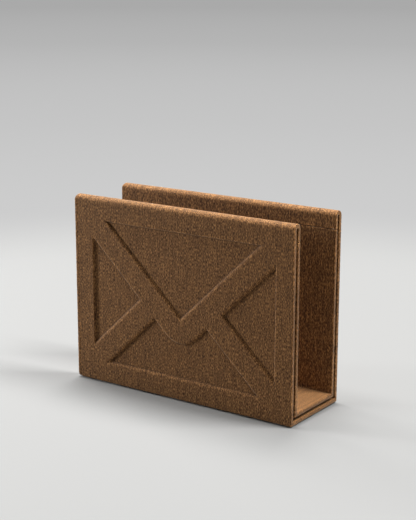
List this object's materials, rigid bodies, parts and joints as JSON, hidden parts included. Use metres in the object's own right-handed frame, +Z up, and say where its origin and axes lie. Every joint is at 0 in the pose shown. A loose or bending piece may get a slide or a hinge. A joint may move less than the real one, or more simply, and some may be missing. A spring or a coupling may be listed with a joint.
{
  "type": "envelope sorter",
  "caption": "Low U-shaped desk sorter that holds envelopes on edge, with a sunken envelope motif on its front and an inner tray that slides out of its open end like a drawer.",
  "frame": {"origin": "middle of the footprint, on the surface that the feet stand on", "axes": "+X along the front towards the open end, where the tray slides out; -Y out of the front with the envelope motif; +Z up"},
  "size_m": [0.12, 0.04, 0.0896],
  "materials": {
    "casing": "fuzzy granular brown, like felt or cork, with fine layer lines across the front",
    "tray": "the same fuzzy granular brown",
    "glide": "dark felt strip",
    "foot": "matte dark pad"
  },
  "bodies": {
    "casing": {"outer_shell": "casing", "end_cap": "casing", "floor_glide_front": "glide", "floor_glide_rear": "glide", "wall_glide_front": "glide", "wall_glide_rear": "glide", "foot_front_left": "foot", "foot_front_right": "foot", "foot_rear_left": "foot", "foot_rear_right": "foot"},
    "tray": {"letter_tray": "tray"}
  },
  "joints": [
    {"name": "tray_slide", "type": "slide", "parent": "casing", "child": "tray", "axis": [1, 0, 0], "range_m": [0, 0.09]}
  ]
}
